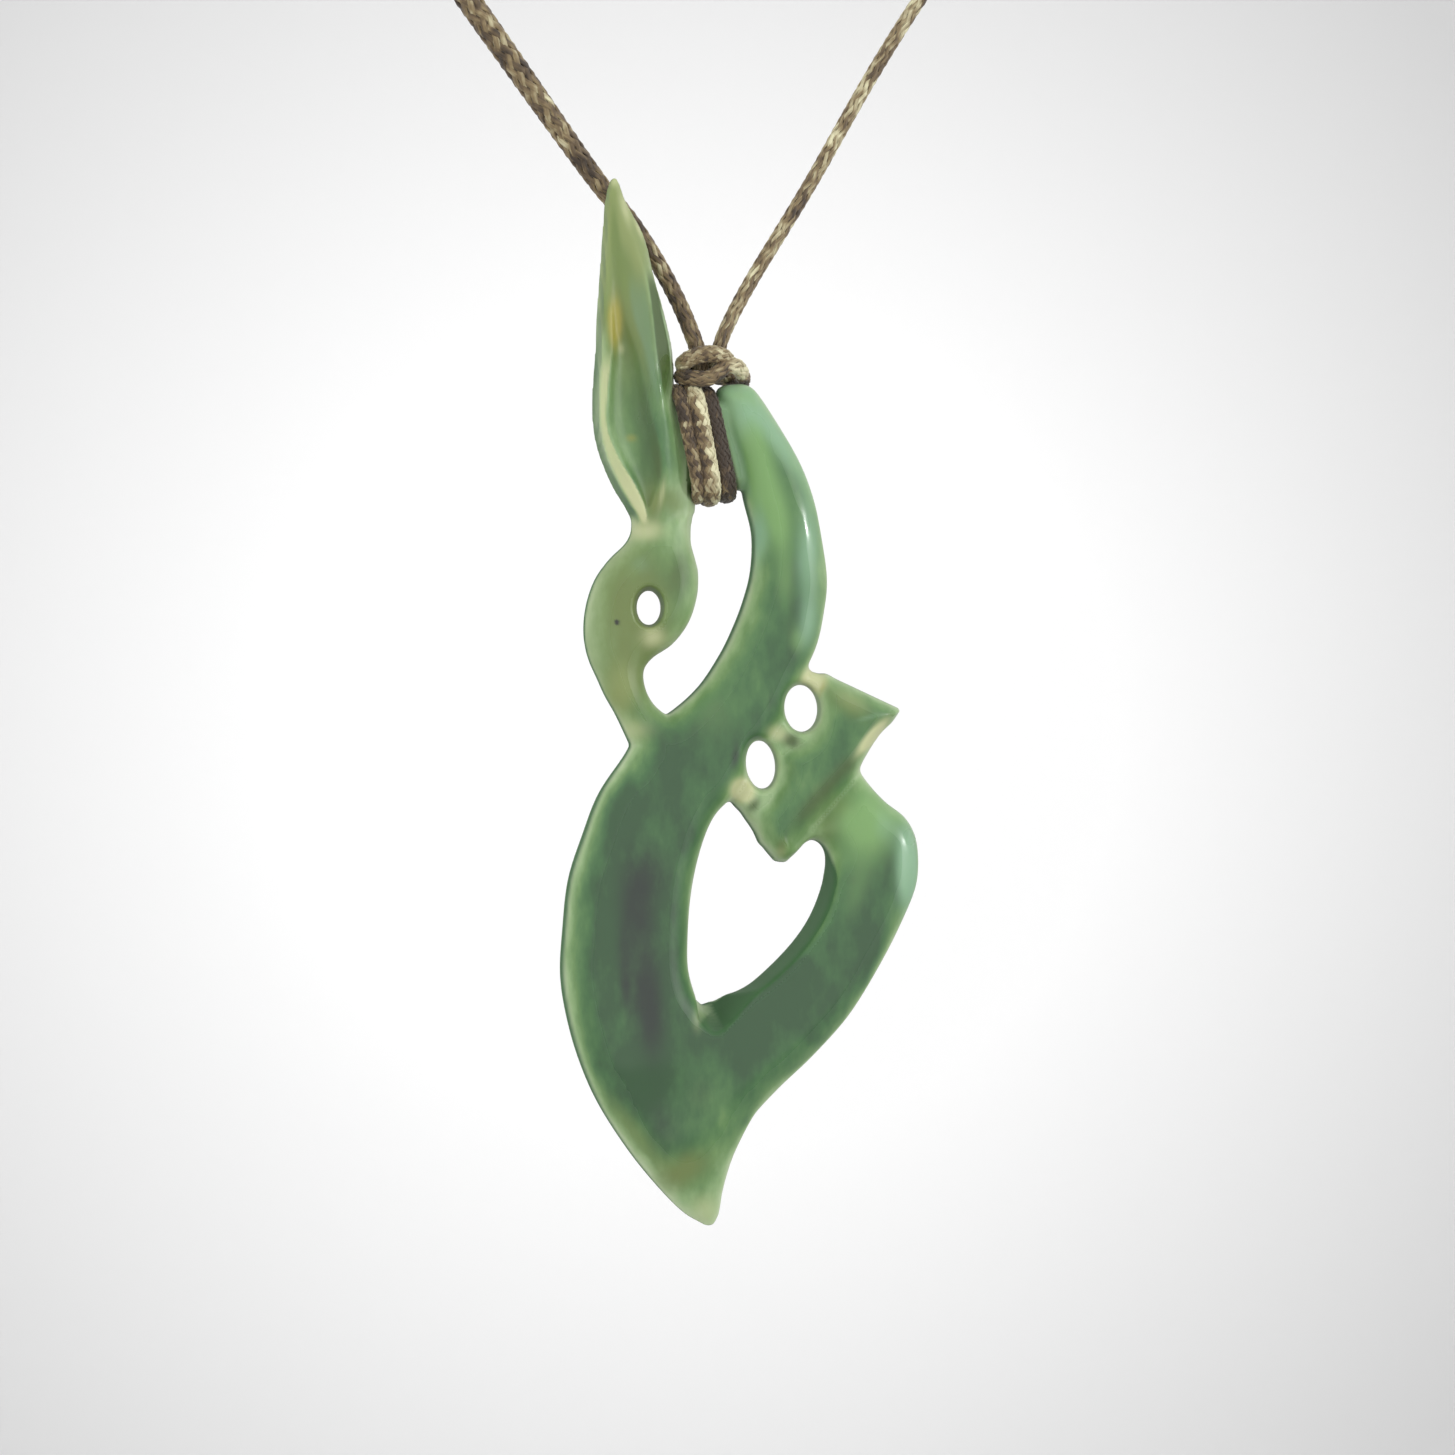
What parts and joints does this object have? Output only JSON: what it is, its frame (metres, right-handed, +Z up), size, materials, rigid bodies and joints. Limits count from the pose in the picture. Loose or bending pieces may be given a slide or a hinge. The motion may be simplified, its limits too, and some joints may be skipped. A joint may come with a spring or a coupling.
{
  "type": "carved stone pendant necklace",
  "caption": "Carved green stone pendant of twining bands with a beaked head and pierced openings, lashed to a whole loop of braided neck cord.",
  "frame": {"origin": "where the loop of cord hangs, at the middle of its top, on the underside of the sliding knot", "axes": "+Z up, -Y out of the carving's front, +X to the right as the front is seen"},
  "size_m": [0.139, 0.0067, 0.2023],
  "materials": {
    "green_stone": "polished translucent green stone",
    "cord": "waxed braid of brown and tan strands"
  },
  "bodies": {
    "root": {"pendant": "green_stone", "lashing_turn_1": "cord", "lashing_turn_2": "cord", "lashing_turn_3": "cord", "knot_wrap_1": "cord", "knot_wrap_2": "cord", "cord": "cord", "slide_knot": "cord"}
  },
  "joints": []
}
